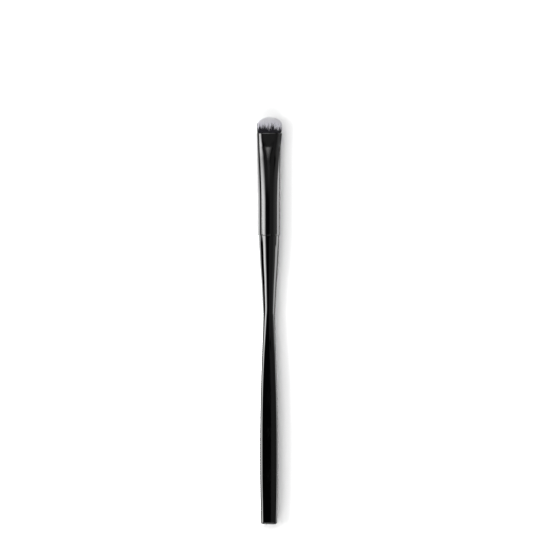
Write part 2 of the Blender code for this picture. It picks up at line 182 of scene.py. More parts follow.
# Glow of the floor in the gloss: places run right and forward from the middle of the brush
FERRULE_GLOW_RANGE = (24 * MILLIMETRE, 34 * MILLIMETRE)
LEFT_TUFT_RANGE = (50 * MILLIMETRE, 68 * MILLIMETRE)
LEFT_NEAR_RANGE = (-15 * MILLIMETRE, -8 * MILLIMETRE)
LEFT_FAR_GLOW = 5.0
LEFT_HANDLE_GLOW = 6.0
LEFT_FERRULE_GLOW = 2.6
LEFT_TUFT_GLOW = 1.0
LEFT_REACH = 30 * MILLIMETRE
LEFT_TUFT_REACH = 20 * MILLIMETRE
LEFT_FADE = 10 * MILLIMETRE
RIGHT_START = 16 * MILLIMETRE
RIGHT_FERRULE_START = 10 * MILLIMETRE
RIGHT_RISE = 7 * MILLIMETRE
RIGHT_NEAR_GLOW = 0.8
RIGHT_FULL_GLOW = 6.0
RIGHT_FAR_RANGE = (50 * MILLIMETRE, 70 * MILLIMETRE)
RIGHT_FAR_SHARE = 0.2
RIGHT_TUFT_RANGE = (58 * MILLIMETRE, 68 * MILLIMETRE)
RIGHT_TUFT_SHARE = 0.1
BUTT_GLOW_RANGE = (-90 * MILLIMETRE, -80 * MILLIMETRE)
BUTT_BLEND = 15 * MILLIMETRE
SIDE_BLEND = 0.01 * MILLIMETRE

# Lamps and world
TIP_SIDE = 1.0
BUTT_SIDE = -1.0
ARC_DISTANCE = 1.3
FADE_NAMES = ("Fade Left", "Fade Right", "Fade Low", "Fade High")
EVEN_FADES = (0.1, 0.1, 0.1, 0.1)
WORLD_STRENGTH = 0.006
WORLD_CAMERA_STRENGTH = 1.2

# Camera: the width that the picture shows, and the point in its middle
PHOTO_WIDTH = 212.7 * MILLIMETRE
PHOTO_CENTRE = (0.44 * MILLIMETRE, 19.8 * MILLIMETRE, 4.0 * MILLIMETRE)
CAMERA_LENS = 135.0
SENSOR_WIDTH = 36.0
CLIP_START = 0.05
CLIP_END = 20.0


def feed(tree, socket, value):
    """Give a socket a constant or another node's output."""
    if isinstance(value, bpy.types.NodeSocket):
        tree.links.new(value, socket)
    else:
        socket.default_value = value


def add(tree, kind, values=None, **settings):
    """A new node with its settings, and its inputs fed by name or number."""
    node = tree.nodes.new(kind)
    for name, value in settings.items():
        setattr(node, name, value)
    for name, value in (values or {}).items():
        feed(tree, node.inputs[name], value)
    return node


def calc(tree, operation, *values):
    """Output of a maths node."""
    node = add(tree, "ShaderNodeMath", dict(enumerate(values)), operation=operation)
    return node.outputs["Value"]


def total(tree, *values):
    """Sum of several values."""
    result = values[0]
    for value in values[1:]:
        result = calc(tree, "ADD", result, value)
    return result


def product(tree, *values):
    """Product of several values."""
    result = values[0]
    for value in values[1:]:
        result = calc(tree, "MULTIPLY", result, value)
    return result


def spread(tree, value, start, end, low=0.0, high=1.0, shape="LINEAR"):
    """The value carried from one range to another, held at both ends."""
    values = {"Value": value, "From Min": start, "From Max": end, "To Min": low, "To Max": high}
    return add(tree, "ShaderNodeMapRange", values, interpolation_type=shape).outputs["Result"]


def blend_values(tree, share, start, end):
    """Value a share of the way from start to end."""
    return add(tree, "ShaderNodeMix", {0: share, 2: start, 3: end}).outputs[0]


def split(tree, vector):
    """The three parts of a vector."""
    return add(tree, "ShaderNodeSeparateXYZ", {"Vector": vector}).outputs


def join(tree, x, y, z):
    """A vector of three parts."""
    return add(tree, "ShaderNodeCombineXYZ", {"X": x, "Y": y, "Z": z}).outputs["Vector"]


def named_tree(name, kind, inputs, outputs):
    """A node group with its named inputs and outputs."""
    tree = bpy.data.node_groups.new(name, kind)
    for label, socket_type in inputs:
        tree.interface.new_socket(label, in_out="INPUT", socket_type=socket_type)
    for label, socket_type in outputs:
        tree.interface.new_socket(label, in_out="OUTPUT", socket_type=socket_type)
    return tree, tree.nodes.new("NodeGroupInput").outputs, tree.nodes.new("NodeGroupOutput").inputs


def between(start, end, share):
    """The value a share of the way from start to end."""
    return start + (end - start) * share


def curve_slopes(points):
    """Slopes for a smooth curve that keeps to the rise and fall of its points."""
    chords = [(b[1] - a[1]) / (b[0] - a[0]) for a, b in zip(points, points[1:])]
    slopes = [0.0]
    for before, after in zip(chords, chords[1:]):
        level = before * after <= 0.0
        slopes.append(0.0 if level else 2.0 * before * after / (before + after))
    slopes.append(0.0)
    return slopes


def curve_value(points, slopes, index, share):
    """Height of the smooth curve a share of the way through one span."""
    run = points[index + 1][0] - points[index][0]
    squared = share * share
    cubed = squared * share
    return (
        (2.0 * cubed - 3.0 * squared + 1.0) * points[index][1]
        + (cubed - 2.0 * squared + share) * run * slopes[index]
        + (3.0 * squared - 2.0 * cubed) * points[index + 1][1]
        + (cubed - squared) * run * slopes[index + 1]
    )


def handle_outline():
    """Pairs of distance behind the shoulder and width, from the neck to the butt."""
    runs = (
        (0.0, WAIST_DISTANCE, NECK_WIDTH, WAIST_WIDTH, NECK_OUTLINE_SHARES),
        (WAIST_DISTANCE, SWELL_DISTANCE, WAIST_WIDTH, SWELL_WIDTH, SWELL_OUTLINE_SHARES),
        (SWELL_DISTANCE, HANDLE_LENGTH, SWELL_WIDTH, BUTT_WIDTH, BUTT_OUTLINE_SHARES),
    )
    points = []
    for start, end, width_from, width_to, shares in runs:
        for along, change in shares[1 if points else 0:]:
            points.append((between(start, end, along), between(width_from, width_to, change)))
    return points


def handle_path():
    """Pairs of place along the brush and half width, from the tenon's end to the butt's face."""
    tenon = TENON_WIDTH / 2
    neck = NECK_WIDTH / 2
    land = SHOULDER_EDGE / 4
    path = [
        (SHOULDER_Y + TENON_LENGTH, tenon - TENON_LEAD / 2),
        (SHOULDER_Y + TENON_LENGTH - TENON_LEAD, tenon),
        (SHOULDER_Y + land, tenon),
        (SHOULDER_Y, neck - SHOULDER_EDGE),
    ]
    for step in range(1, EDGE_STEPS + 1):
        angle = math.pi / 2 * step / EDGE_STEPS
        reach = neck - SHOULDER_EDGE * (1.0 - math.sin(angle))
        path.append((SHOULDER_Y - SHOULDER_EDGE * (1.0 - math.cos(angle)), reach))
    points = handle_outline()
    slopes = curve_slopes(points)
    edge_start = HANDLE_LENGTH - BUTT_EDGE
    for index in range(len(points) - 1):
        for step in range(OUTLINE_STEPS):
            share = step / OUTLINE_STEPS
            distance = between(points[index][0], points[index + 1][0], share)
            if SHOULDER_EDGE < distance < edge_start:
                path.append((SHOULDER_Y - distance, curve_value(points, slopes, index, share) / 2))
    for step in range(EDGE_STEPS + 1):
        angle = math.pi / 2 * step / EDGE_STEPS
        reach = BUTT_WIDTH / 2 - BUTT_EDGE * (1.0 - math.cos(angle))
        path.append((BUTT_EDGE - BUTT_EDGE * math.sin(angle), reach))
    return path


def line_mesh(name, path):
    """A chain of edges along the brush, with a radius kept at each point."""
    mesh = bpy.data.meshes.new(name)
    points = [(0.0, y, 0.0) for y, _ in path]
    mesh.from_pydata(points, [(n, n + 1) for n in range(len(path) - 1)], [])
    radius = mesh.attributes.new("section_radius", "FLOAT", "POINT")
    radius.data.foreach_set("value", [reach for _, reach in path])
    return mesh


def thicken(tree, path, sides, radius, caps):
    """A ring carried along a curve, with its own radius at each point."""
    ring = add(tree, "GeometryNodeCurvePrimitiveCircle", {"Resolution": sides, "Radius": 1.0})
    values = {"Curve": path, "Profile Curve": ring.outputs["Curve"], "Scale": radius, "Fill Caps": caps}
    return add(tree, "GeometryNodeCurveToMesh", values).outputs["Mesh"]


def sweep(tree, source, sides, radius, caps):
    """A ring carried along a chain of edges, with its own radius at each point."""
    path = add(tree, "GeometryNodeMeshToCurve", {"Mesh": source}).outputs["Curve"]
    return thicken(tree, path, sides, radius, caps)


def named_value(tree, name):
    """A number kept on each point."""
    kept = add(tree, "GeometryNodeInputNamedAttribute", {"Name": name}, data_type="FLOAT")
    return kept.outputs["Attribute"]


def keep_value(tree, shape, name, value):
    """The shape, with a number kept on each of its points."""
    values = {"Geometry": shape, "Name": name, "Value": value}
    return add(tree, "GeometryNodeStoreNamedAttribute", values, data_type="FLOAT").outputs["Geometry"]


def finished_shape(tree, shape, material):
    """Last nodes of every tree: one plain mesh, smooth shading and one material."""
    whole = add(tree, "GeometryNodeRealizeInstances", {"Geometry": shape}).outputs["Geometry"]
    smooth = add(tree, "GeometryNodeSetShadeSmooth", {"Geometry": whole}).outputs["Geometry"]
    values = {"Geometry": smooth, "Material": material}
    return add(tree, "GeometryNodeSetMaterial", values).outputs["Geometry"]


def handle_tree():
    """Sweep a round section down the handle's outline, and square it towards the butt."""
    inputs = (
        ("Outline", GEOMETRY), ("Sides", WHOLE), ("Round Until", FLOAT), ("Square From", FLOAT),
        ("Round Power", FLOAT), ("Square Power", FLOAT), ("Lacquer", MATERIAL),
    )
    tree, given, made = named_tree("waisted_handle", "GeometryNodeTree", inputs, [("Handle", GEOMETRY)])
    shape = sweep(tree, given["Outline"], given["Sides"], named_value(tree, "section_radius"), True)
    place = add(tree, "GeometryNodeInputPosition").outputs["Position"]
    x, y, z = split(tree, place)
    reach = calc(tree, "SQRT", total(tree, product(tree, x, x), product(tree, z, z)))
    across = calc(tree, "ABSOLUTE", calc(tree, "DIVIDE", x, reach))
    up = calc(tree, "ABSOLUTE", calc(tree, "DIVIDE", z, reach))
    squareness = spread(tree, y, given["Round Until"], given["Square From"], shape="SMOOTHSTEP")
    power = blend_values(tree, squareness, given["Round Power"], given["Square Power"])
    fullness = total(tree, calc(tree, "POWER", across, power), calc(tree, "POWER", up, power))
    grown = calc(tree, "POWER", fullness, calc(tree, "DIVIDE", -1.0, power))
    moved = join(tree, product(tree, x, grown), y, product(tree, z, grown))
    squared = add(tree, "GeometryNodeSetPosition", {"Geometry": shape, "Position": moved})
    tree.links.new(finished_shape(tree, squared.outputs["Geometry"], given["Lacquer"]), made["Handle"])
    return tree


def oblong_point(tree, half_wide, half_thick, quarter):
    """Place a share of a quarter turn round a rounded oblong, from its side to the middle of its flat."""
    flat = calc(tree, "SUBTRACT", half_wide, half_thick)
    arc = product(tree, half_thick, math.pi / 2)
    flat_share = calc(tree, "DIVIDE", flat, total(tree, flat, arc))
    arc_share = calc(tree, "SUBTRACT", 1.0, flat_share)
    bent = calc(tree, "MINIMUM", calc(tree, "DIVIDE", quarter, arc_share), 1.0)
    straight = calc(tree, "MAXIMUM", calc(tree, "SUBTRACT", quarter, arc_share), 0.0)
    angle = product(tree, bent, math.pi / 2)
    flat_left = calc(tree, "SUBTRACT", 1.0, calc(tree, "DIVIDE", straight, flat_share))
    out = total(tree, product(tree, flat, flat_left), product(tree, half_thick, calc(tree, "COSINE", angle)))
    return out, product(tree, half_thick, calc(tree, "SINE", angle))


def ferrule_tree():
    """Sweep the ferrule: round at the handle, and pressed flat from the crease to the mouth."""
    inputs = (
        ("Depths", GEOMETRY), ("Sides", WHOLE), ("Mouth", FLOAT), ("Crease Depth", FLOAT),
        ("Fairing Length", FLOAT), ("Flat Length", FLOAT), ("Crown Depth", FLOAT), ("Flat Crown", FLOAT),
        ("Mouth Size", VECTOR), ("Crease Size", VECTOR), ("Tube Size", VECTOR), ("Set", FLOAT),
        ("Metal", MATERIAL),
    )
    tree, given, made = named_tree("pressed_ferrule", "GeometryNodeTree", inputs, [("Ferrule", GEOMETRY)])
    shape = sweep(tree, given["Depths"], given["Sides"], named_value(tree, "section_radius"), False)
    place = add(tree, "GeometryNodeInputPosition").outputs["Position"]
    x, y, z = split(tree, place)
    depth = calc(tree, "SUBTRACT", given["Mouth"], y)
    taper = spread(tree, depth, 0.0, given["Crease Depth"])
    behind = calc(tree, "SUBTRACT", depth, given["Crease Depth"])
    fair = spread(tree, behind, 0.0, given["Fairing Length"])
    unfair = calc(tree, "SUBTRACT", 1.0, fair)
    rise = calc(tree, "SUBTRACT", 1.0, product(tree, unfair, unfair))
    mouth = split(tree, given["Mouth Size"])
    crease = split(tree, given["Crease Size"])
    tube = split(tree, given["Tube Size"])
    wide = blend_values(tree, fair, blend_values(tree, taper, mouth[0], crease[0]), tube[0])
    thick = blend_values(tree, rise, blend_values(tree, taper, mouth[2], crease[2]), tube[2])
    half_wide = product(tree, wide, 0.5)
    half_thick = product(tree, thick, 0.5)
    turn = calc(tree, "DIVIDE", calc(tree, "ARCTAN2", z, x), math.pi / 2)
    quarter = calc(tree, "PINGPONG", turn, 1.0)
    turned = product(tree, quarter, math.pi / 2)
    crown = spread(
        tree, depth, given["Flat Length"], given["Crown Depth"], given["Flat Crown"], shape="SMOOTHSTEP"
    )
    out, up = oblong_point(tree, half_wide, half_thick, quarter)
    out = blend_values(tree, crown, out, product(tree, half_wide, calc(tree, "COSINE", turned)))
    up = blend_values(tree, crown, up, product(tree, half_thick, calc(tree, "SINE", turned)))
    aside = spread(tree, depth, 0.0, given["Crease Depth"], given["Set"], 0.0)
    placed = total(tree, product(tree, out, calc(tree, "SIGN", x)), aside)
    moved = join(tree, placed, y, product(tree, up, calc(tree, "SIGN", z)))
    measured = keep_value(tree, shape, "rim_depth", depth)
    pressed = add(tree, "GeometryNodeSetPosition", {"Geometry": measured, "Position": moved})
    tree.links.new(finished_shape(tree, pressed.outputs["Geometry"], given["Metal"]), made["Ferrule"])
    return tree


def one_less_square(tree, value):
    """One less the square of a value, and never below zero."""
    return calc(tree, "MAXIMUM", calc(tree, "SUBTRACT", 1.0, product(tree, value, value)), 0.0)


def section_reach(tree, half_wide, half_thick, height):
    """Half width of the tuft's rounded section at a share of its half thickness."""
    rounded = product(tree, half_thick, calc(tree, "SQRT", one_less_square(tree, height)))
    return total(tree, calc(tree, "SUBTRACT", half_wide, half_thick), rounded)


def chance(tree, first_seed, seed, low, high):
    """A random number for each point, with a seed of its own."""
    own_seed = add(tree, "FunctionNodeIntegerMath", {0: first_seed, 1: seed}, operation="ADD")
    values = {2: low, 3: high, "Seed": own_seed.outputs[0]}
    return add(tree, "FunctionNodeRandomValue", values, data_type="FLOAT").outputs[1]


def scattered_roots(tree, given):
    """Points over one layer of the tuft, each with its share of the section and its own chances."""
    values = {
        "Mesh": given["Layer"], "Distance Min": given["Spacing"], "Density Max": ROOT_DENSITY,
        "Seed": given["Seed"],
    }
    scatter = add(tree, "GeometryNodeDistributePointsOnFaces", values, distribute_method="POISSON")
    place = add(tree, "GeometryNodeInputPosition").outputs["Position"]
    x, _, z = split(tree, place)
    tuft = split(tree, given["Tuft Size"])
    height = calc(tree, "DIVIDE", z, tuft[2])
    reach = section_reach(tree, tuft[0], tuft[2], height)
    clump_scale = calc(tree, "DIVIDE", 1.0, given["Clump Size"])
    cell = add(tree, "ShaderNodeTexVoronoi", {"Vector": place, "Scale": clump_scale}).outputs
    centre = split(tree, cell["Position"])
    numbers = (
        ("across", calc(tree, "DIVIDE", x, reach)),
        ("height", height),
        ("strand", chance(tree, given["Seed"], STRAND_SEED, 0.0, 1.0)),
        ("lean_across", chance(tree, given["Seed"], LEAN_ACROSS_SEED, -1.0, 1.0)),
        ("lean_up", chance(tree, given["Seed"], LEAN_UP_SEED, -1.0, 1.0)),
        ("pull_across", calc(tree, "SUBTRACT", centre[0], x)),
        ("pull_up", calc(tree, "SUBTRACT", centre[2], z)),
        ("clump", split(tree, cell["Color"])[0]),
    )
    points = scatter.outputs["Points"]
    for name, value in numbers:
        points = keep_value(tree, points, name, value)
    return points


def fibre_length(tree, given, across, height):
    """How far each fibre reaches past the mouth: a dome, with some fibres a little short of it."""
    inside = product(tree, one_less_square(tree, across), one_less_square(tree, height))
    rise = calc(tree, "SUBTRACT", given["Tip Height"], given["Side Height"])
    length = total(tree, given["Side Height"], product(tree, rise, calc(tree, "SQRT", inside)))
    rank = calc(tree, "POWER", named_value(tree, "strand"), LENGTH_POWER)
    return product(tree, length, spread(tree, rank, 0.0, 1.0, 1.0, SHORTEST_SHARE))


def fibre_place(tree, given, share, along, across, height):
    """Place of each point of a fibre: held by the ferrule, spread past its lip, and drawn to a clump."""
    root = split(tree, given["Root Size"])
    lip = split(tree, given["Lip Size"])
    tuft = split(tree, given["Tuft Size"])
    inner = spread(tree, along, root[1], 0.0)
    outer = spread(tree, along, 0.0, given["Bulge Height"], shape="SMOOTHSTEP")
    wide = blend_values(tree, outer, blend_values(tree, inner, root[0], lip[0]), tuft[0])
    thick = blend_values(tree, outer, blend_values(tree, inner, root[2], lip[2]), tuft[2])
    reach = section_reach(tree, wide, thick, height)
    drawn = product(tree, share, share)
    pull = product(tree, drawn, given["Clump Pull"])
    lean = product(tree, drawn, given["Lean"])
    return join(
        tree,
        total(tree, product(tree, across, reach), product(tree, outer, given["Set"]),
              product(tree, named_value(tree, "pull_across"), pull),
              product(tree, named_value(tree, "lean_across"), lean)),
        total(tree, given["Mouth"], along),
        total(tree, product(tree, height, thick), product(tree, named_value(tree, "pull_up"), pull),
              product(tree, named_value(tree, "lean_up"), lean)),
    )


def fibre_tree():
    """Scatter roots over one layer of the tuft, and raise a tapered fibre from each."""
    inputs = (
        ("Layer", GEOMETRY), ("Spacing", FLOAT), ("Fibre Radius", FLOAT), ("Points", WHOLE),
        ("Sides", WHOLE), ("Mouth", FLOAT), ("Root Size", VECTOR), ("Lip Size", VECTOR),
        ("Tuft Size", VECTOR), ("Bulge Height", FLOAT), ("Side Height", FLOAT),
        ("Tip Height", FLOAT), ("Clump Size", FLOAT), ("Clump Pull", FLOAT), ("Lean", FLOAT),
        ("Set", FLOAT), ("Seed", WHOLE), ("Fibre", MATERIAL),
    )
    tree, given, made = named_tree("tuft_layer", "GeometryNodeTree", inputs, [("Fibres", GEOMETRY)])
    ends = {"Start": (0.0, 0.0, 0.0), "End": (0.0, 1.0, 0.0)}
    line = add(tree, "GeometryNodeCurvePrimitiveLine", ends).outputs["Curve"]
    fine = add(tree, "GeometryNodeResampleCurve", {"Curve": line, "Count": given["Points"]})
    values = {"Points": scattered_roots(tree, given), "Instance": fine.outputs["Curve"]}
    raised = add(tree, "GeometryNodeInstanceOnPoints", values).outputs["Instances"]
    curves = add(tree, "GeometryNodeRealizeInstances", {"Geometry": raised}).outputs["Geometry"]
    across = named_value(tree, "across")
    height = named_value(tree, "height")
    share = add(tree, "GeometryNodeSplineParameter").outputs["Factor"]
    root_height = split(tree, given["Root Size"])[1]
    along = blend_values(tree, share, root_height, fibre_length(tree, given, across, height))
    moved = fibre_place(tree, given, share, along, across, height)
    bent = add(tree, "GeometryNodeSetPosition", {"Geometry": curves, "Position": moved})
    shape = keep_value(tree, bent.outputs["Geometry"], "fibre_height", along)
    taper = spread(tree, share, TAPER_START_SHARE, 1.0, 1.0, TIP_RADIUS_SHARE)
    fibres = thicken(tree, shape, given["Sides"], product(tree, given["Fibre Radius"], taper), True)
    tree.links.new(finished_shape(tree, fibres, given["Fibre"]), made["Fibres"])
    return tree


def run_tree(name, mesh, tree, values):
    """A guide object whose mesh goes through a tree, with the tree's inputs set by name."""
    guide = bpy.data.objects.new(name + "_guide", mesh)
    bpy.context.scene.collection.objects.link(guide)
    modifier = guide.modifiers.new(name, "NODES")
    modifier.node_group = tree
    inputs = [item for item in tree.interface.items_tree if item.in_out == "INPUT"]
    sockets = {item.name: item.identifier for item in inputs}
    for label, value in values.items():
        modifier[sockets[label]] = value
    return guide


def bake(name, guide):
    """The evaluated shape of a guide as a new plain object; the guide is removed."""
    depsgraph = bpy.context.evaluated_depsgraph_get()
    mesh = bpy.data.meshes.new_from_object(guide.evaluated_get(depsgraph))
    mesh.name = name
    guide.modifiers.clear()
    bpy.data.objects.remove(guide, do_unlink=True)
    piece = bpy.data.objects.new(name, mesh)
    bpy.context.scene.collection.objects.link(piece)
    return piece


def lay(piece, brush_place, node):
    """Lay a finished piece where the frame has the brush, and let it stand for its node."""
    piece.data.transform(brush_place)
    piece.data.update()
    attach(piece, "root")
    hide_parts(node)


def make_handle(brush_place, material):
    """The waisted handle, with its tenon."""
    values = {
        "Sides": HANDLE_SIDES,
        "Round Until": SHOULDER_Y - ROUND_LENGTH,
        "Square From": SHOULDER_Y - SQUARE_DISTANCE,
        "Round Power": ROUND_POWER,
        "Square Power": SQUARE_POWER,
        "Lacquer": material,
    }
    outline = line_mesh("handle_outline", handle_path())
    piece = bake("gloss_handle", run_tree("gloss_handle", outline, handle_tree(), values))
    piece.data.set_sharp_from_angle(angle=HANDLE_SHARP_ANGLE)
    lay(piece, brush_place, "handle")


def ferrule_path():
    """Pairs of place and radius for evenly spaced rings of a thin pipe, from the mouth to the seam."""
    length = FERRULE_LENGTH + SEAT_GAP - SEAM_GAP
    rings = range(FERRULE_RINGS + 1)
    return [(MOUTH_Y - length * ring / FERRULE_RINGS, PIPE_RADIUS) for ring in rings]


def make_ferrule(brush_place, material):
    """The pressed ferrule, with its wall and its two lips."""
    values = {
        "Sides": FERRULE_SIDES,
        "Mouth": MOUTH_Y,
        "Crease Depth": CREASE_DEPTH,
        "Fairing Length": FAIRING_LENGTH,
        "Flat Length": FLAT_LENGTH,
        "Crown Depth": CROWN_DEPTH,
        "Flat Crown": FLAT_CROWN,
        "Mouth Size": (MOUTH_WIDTH, 0.0, MOUTH_THICKNESS),
        "Crease Size": (CREASE_WIDTH, 0.0, CREASE_THICKNESS),
        "Tube Size": (FERRULE_WIDTH, 0.0, FERRULE_WIDTH),
        "Set": MOUTH_SET,
        "Metal": material,
    }
    depths = line_mesh("ferrule_depths", ferrule_path())
    guide = run_tree("satin_ferrule", depths, ferrule_tree(), values)
    wall = guide.modifiers.new("wall", "SOLIDIFY")
    wall.thickness = FERRULE_WALL
    wall.offset = -1.0
    lips = guide.modifiers.new("lips", "BEVEL")
    lips.width = LIP_EDGE
    lips.segments = LIP_SEGMENTS
    lips.limit_method = "ANGLE"
    lips.angle_limit = LIP_ANGLE
    piece = bake("satin_ferrule", guide)
    lay(piece, brush_place, "ferrule")


def layer_mesh(layer):
    """The slice of the tuft's section that one layer's roots are scattered over."""
    low = between(-TUFT_HALF_THICKNESS, TUFT_HALF_THICKNESS, layer / LAYER_COUNT)
    high = between(-TUFT_HALF_THICKNESS, TUFT_HALF_THICKNESS, (layer + 1) / LAYER_COUNT)
    straight = TUFT_HALF_WIDTH - TUFT_HALF_THICKNESS
    rims = []
    for step in range(SECTION_STEPS + 1):
        z = between(low, high, step / SECTION_STEPS)
        reach = straight + math.sqrt(max(TUFT_HALF_THICKNESS ** 2 - z * z, 0.0))
        rims.append((reach, z))
    points = [(x, 0.0, z) for x, z in rims] + [(-x, 0.0, z) for x, z in rims]
    across = SECTION_STEPS + 1
    faces = [(n, n + 1, n + across + 1, n + across) for n in range(SECTION_STEPS)]
    mesh = bpy.data.meshes.new(f"tuft_section_{layer + 1}")
    mesh.from_pydata(points, [], faces)
    return mesh


def make_tuft(brush_place, material):
    """One piece of fibres for each layer of the tuft."""
    tree = fibre_tree()
    values = {
        "Spacing": FIBRE_SPACING,
        "Fibre Radius": FIBRE_RADIUS,
        "Points": FIBRE_POINTS,
        "Sides": FIBRE_SIDES,
        "Mouth": MOUTH_Y,
        "Root Size": (ROOT_HALF_WIDTH, ROOT_HEIGHT, ROOT_HALF_THICKNESS),
        "Lip Size": (LIP_HALF_WIDTH, 0.0, LIP_HALF_THICKNESS),
        "Tuft Size": (TUFT_HALF_WIDTH, 0.0, TUFT_HALF_THICKNESS),
        "Bulge Height": BULGE_HEIGHT,
        "Side Height": SIDE_HEIGHT,
        "Tip Height": TIP_HEIGHT,
        "Clump Size": CLUMP_SIZE,
        "Clump Pull": CLUMP_PULL,
        "Lean": FIBRE_LEAN,
        "Set": TUFT_SET,
        "Fibre": material,
    }
    for layer in range(LAYER_COUNT):
        name = f"fibre_layer_{layer + 1}"
        values["Seed"] = LAYER_SEED + layer
        piece = bake(name, run_tree(name, layer_mesh(layer), tree, values))
        lay(piece, brush_place, f"bristle_layer_{layer + 1}")


def fill_resin(nodes, material):
    """The cured pieces inside the ferrule, which keep the shapes that the frame gives them."""
    for name in ("tenon_adhesive", "root_plug"):
        nodes[name].data.materials.clear()
        nodes[name].data.materials.append(material)


def new_material(name):
    """An empty material with its Principled shader."""
    material = bpy.data.materials.new(name)
    material.use_nodes = True
    tree = material.node_tree
    return material, tree, tree.nodes["Principled BSDF"].inputs


def mottle_group():
    """Soft uneven tone between a low and a high value. Its scale counts grains in a metre."""
    inputs = (("Place", VECTOR), ("Scale", FLOAT), ("Low", FLOAT), ("High", FLOAT))
    outputs = (("Value", FLOAT), ("Height", FLOAT))
    tree, given, made = named_tree("soft_mottle", "ShaderNodeTree", inputs, outputs)
    values = {"Vector": given["Place"], "Scale": given["Scale"], "Detail": 4.0}
    level = add(tree, "ShaderNodeTexNoise", values).outputs["Fac"]
    value = spread(tree, level, *NOISE_RANGE, given["Low"], given["High"])
    tree.links.new(value, made["Value"])
    tree.links.new(level, made["Height"])
    return tree


def hairline_group():
    """Mask of fine straight hairlines that run along the brush, turned by a small angle."""
    inputs = (
        ("Place", VECTOR), ("Turn", FLOAT), ("Across Scale", FLOAT), ("Along Scale", FLOAT),
        ("Line Width", FLOAT),
    )
    tree, given, made = named_tree("fine_hairlines", "ShaderNodeTree", inputs, [("Mask", FLOAT)])
    values = {"Vector": given["Place"], "Angle": given["Turn"]}
    turned = add(tree, "ShaderNodeVectorRotate", values, rotation_type="Z_AXIS").outputs["Vector"]
    x, y, z = split(tree, turned)
    stretched = join(
        tree, product(tree, x, given["Across Scale"]), product(tree, y, given["Along Scale"]),
        product(tree, z, given["Across Scale"]),
    )
    values = {"Vector": stretched, "Scale": 1.0, "Detail": 1.0}
    level = add(tree, "ShaderNodeTexNoise", values).outputs["Fac"]
    off_line = calc(tree, "ABSOLUTE", calc(tree, "SUBTRACT", level, NOISE_MIDDLE))
    tree.links.new(spread(tree, off_line, 0.0, given["Line Width"], 1.0, 0.0), made["Mask"])
    return tree


def use_group(tree, group, values):
    """Place a group in a material, in the object's own coordinates."""
    node = tree.nodes.new("ShaderNodeGroup")
    node.node_tree = group
    feed(tree, node.inputs["Place"], add(tree, "ShaderNodeTexCoord").outputs["Object"])
    for name, value in values.items():
        feed(tree, node.inputs[name], value)
    return node.outputs


def bump(tree, height, distance):
    """Normal of a shallow relief."""
    values = {"Height": height, "Strength": 1.0, "Distance": distance}
    return add(tree, "ShaderNodeBump", values).outputs["Normal"]


def blend_colours(tree, share, start, end):
    """Colour a share of the way from start to end."""
    node = add(tree, "ShaderNodeMix", {0: share}, data_type="RGBA")
    feed(tree, node.inputs[6], start)
    feed(tree, node.inputs[7], end)
    return node.outputs[2]


def lacquer_material(mottle, hairlines):
    """Gloss black lacquer: soft orange peel, dull finger marks, and a few hairlines from handling."""
    material, tree, shader = new_material("gloss_black_lacquer")
    shader["Base Color"].default_value = LACQUER_BLACK
    shader["IOR"].default_value = COAT_IOR
    peel = use_group(tree, mottle, {"Scale": 700.0})["Height"]
    marks = use_group(tree, mottle, {"Scale": 110.0, "Low": 0.0, "High": 1.0})["Value"]
    sheen = use_group(tree, mottle, {"Scale": 2500.0, "Low": 0.018, "High": 0.04})["Value"]
    lines = calc(
        tree, "MAXIMUM",
        use_group(tree, hairlines, {
            "Turn": 0.25, "Across Scale": 700.0, "Along Scale": 50.0, "Line Width": 0.004})["Mask"],
        use_group(tree, hairlines, {
            "Turn": -0.6, "Across Scale": 500.0, "Along Scale": 70.0, "Line Width": 0.003})["Mask"],
    )
    scuffed = product(tree, lines, spread(tree, marks, *SCUFF_MARK_RANGE))
    dulled = product(tree, spread(tree, marks, *DULL_MARK_RANGE, shape="SMOOTHSTEP"), DULL_ROUGHNESS)
    rough = total(tree, sheen, dulled, product(tree, scuffed, SCUFF_ROUGHNESS))
    tree.links.new(rough, shader["Roughness"])
    relief = calc(tree, "SUBTRACT", peel, product(tree, scuffed, SCUFF_DEPTH))
    tree.links.new(bump(tree, relief, LACQUER_RELIEF), shader["Normal"])
    return material


def metal_material(mottle, hairlines):
    """Satin black coated aluminium: fine drawn grain, and the coat rubbed thin in lighter patches along its
    mouth, which are also a painted highlight on the lip.
    """
    material, tree, shader = new_material("satin_black_metal")
    shader["IOR"].default_value = COAT_IOR
    grain = use_group(tree, mottle, {"Scale": 5000.0, "Low": 0.085, "High": 0.12})
    drawn = use_group(tree, hairlines, {
        "Turn": 0.0, "Across Scale": 3500.0, "Along Scale": 60.0, "Line Width": 0.02})["Mask"]
    patches = use_group(tree, mottle, {"Scale": 380.0, "Low": 0.0, "High": 1.0})["Value"]
    depth = add(tree, "ShaderNodeAttribute", attribute_name="rim_depth").outputs["Fac"]
    # Lighter patches near the mouth: partly wear of the coat, partly a painted highlight on the lip.
    at_rim = spread(tree, depth, *WORN_AND_HIGHLIGHT_DEPTH_RANGE, 1.0, 0.0, shape="SMOOTHSTEP")
    worn_and_painted_highlight = product(tree, at_rim, spread(tree, patches, *WORN_AND_HIGHLIGHT_PATCH_RANGE, shape="SMOOTHSTEP"))
    tree.links.new(blend_colours(tree, worn_and_painted_highlight, METAL_BLACK, METAL_WORN_AND_PAINTED_HIGHLIGHT), shader["Base Color"])
    drawn_rough = product(tree, drawn, DRAWN_ROUGHNESS)
    rough = total(tree, grain["Value"], drawn_rough, product(tree, worn_and_painted_highlight, WORN_AND_HIGHLIGHT_ROUGHNESS))
    tree.links.new(rough, shader["Roughness"])
    grain_relief = product(tree, grain["Height"], GRAIN_HEIGHT)
    relief = total(tree, grain_relief, product(tree, drawn, DRAWN_HEIGHT))
    tree.links.new(bump(tree, relief, METAL_RELIEF), shader["Normal"])
    return material


